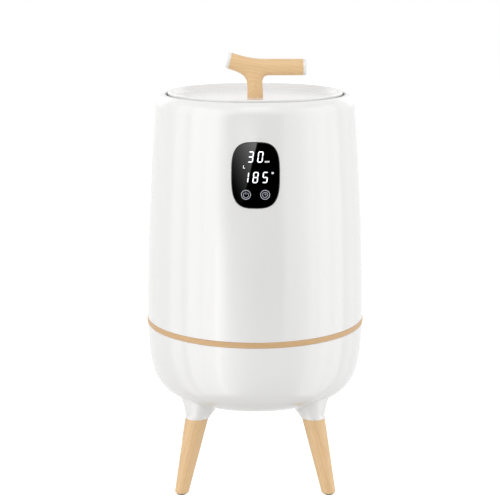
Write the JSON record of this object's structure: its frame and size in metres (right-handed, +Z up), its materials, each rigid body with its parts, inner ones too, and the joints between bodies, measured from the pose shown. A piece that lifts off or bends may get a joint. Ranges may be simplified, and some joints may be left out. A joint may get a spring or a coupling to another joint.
{
  "type": "towel warmer bucket",
  "caption": "Barrel-shaped towel warmer on splayed wood legs, with a heated drum, lift-off lid with a branch-like handle, aroma cup and two-key display panel.",
  "frame": {"origin": "on the floor, under the centre of the barrel", "axes": "+Z up along the barrel's axis, -Y is the front with the display panel, +X to the viewer's right"},
  "size_m": [0.303, 0.303, 0.5947],
  "materials": {
    "shell_white": "satin gloss",
    "collar_grey": "satin",
    "bright_aluminium": "brushed",
    "light_wood": "sealed, straight grain",
    "panel_black": "high gloss",
    "frame_black": "matt",
    "cup_frosted": "satin",
    "seal_silicone": "matt",
    "black_rubber": "matt",
    "heater_silicone": "matt",
    "white_felt": "soft",
    "grey_foam": "soft",
    "steel": "zinc plated",
    "brass": "turned",
    "board_green": "solder mask",
    "component_dark": "moulded",
    "digit_grey": "moulded",
    "component_blue": "moulded"
  },
  "bodies": {
    "case": {"base_bowl": "shell_white", "outer_shell": "shell_white", "top_collar": "collar_grey", "rim_gasket": "seal_silicone", "heat_drum": "bright_aluminium", "accent_ring": "light_wood", "leg_front_left": "light_wood", "leg_front_right": "light_wood", "leg_rear_left": "light_wood", "leg_rear_right": "light_wood", "foot_pads": "black_rubber", "leg_bolts": "steel", "leg_inserts": "brass", "cord_gland": "black_rubber", "heater_film": "heater_silicone", "insulation_wrap": "grey_foam", "bottom_insulation": "white_felt", "drum_cradle": "frame_black", "shell_screws": "steel", "thermostat": "component_dark", "thermal_fuse": "steel", "temp_sensor": "steel", "power_board": "board_green", "relay": "component_blue", "transformer": "component_dark", "capacitors": "component_dark", "terminal_block": "board_green", "board_screws": "steel", "display_lens": "panel_black", "panel_frame": "frame_black", "display_board": "board_green", "display_board_screws": "steel", "digit_module_upper": "digit_grey", "digit_module_lower": "digit_grey", "key_switches": "component_dark", "display_cable": "component_dark"},
    "lid": {"lid_cover": "shell_white", "lid_base": "shell_white", "lid_foam": "grey_foam", "lid_screws": "steel", "handle_grip": "light_wood", "handle_end_caps": "shell_white", "handle_screw": "steel", "handle_washer": "steel"},
    "aroma_cup_body": {"aroma_cup": "cup_frosted", "aroma_pad": "white_felt"},
    "power_key_body": {"power_key": "panel_black"},
    "timer_key_body": {"timer_key": "panel_black"}
  },
  "joints": [
    {"name": "lid_lift", "type": "slide", "parent": "case", "child": "lid", "axis": [0, 0, 1], "range_m": [0, 0.058]},
    {"name": "aroma_cup_twist", "type": "hinge", "parent": "lid", "child": "aroma_cup_body", "pos_m": [0, 0, 0.5154], "axis": [0, 0, 1], "range_deg": [0, 60]},
    {"name": "power_key_press", "type": "slide", "parent": "case", "child": "power_key_body", "axis": [0, 1, 0], "range_m": [0, 0.0006], "stiffness_N_per_m": 600, "springref_m": -0.001},
    {"name": "timer_key_press", "type": "slide", "parent": "case", "child": "timer_key_body", "axis": [0, 1, 0], "range_m": [0, 0.0006], "stiffness_N_per_m": 600, "springref_m": -0.001}
  ]
}
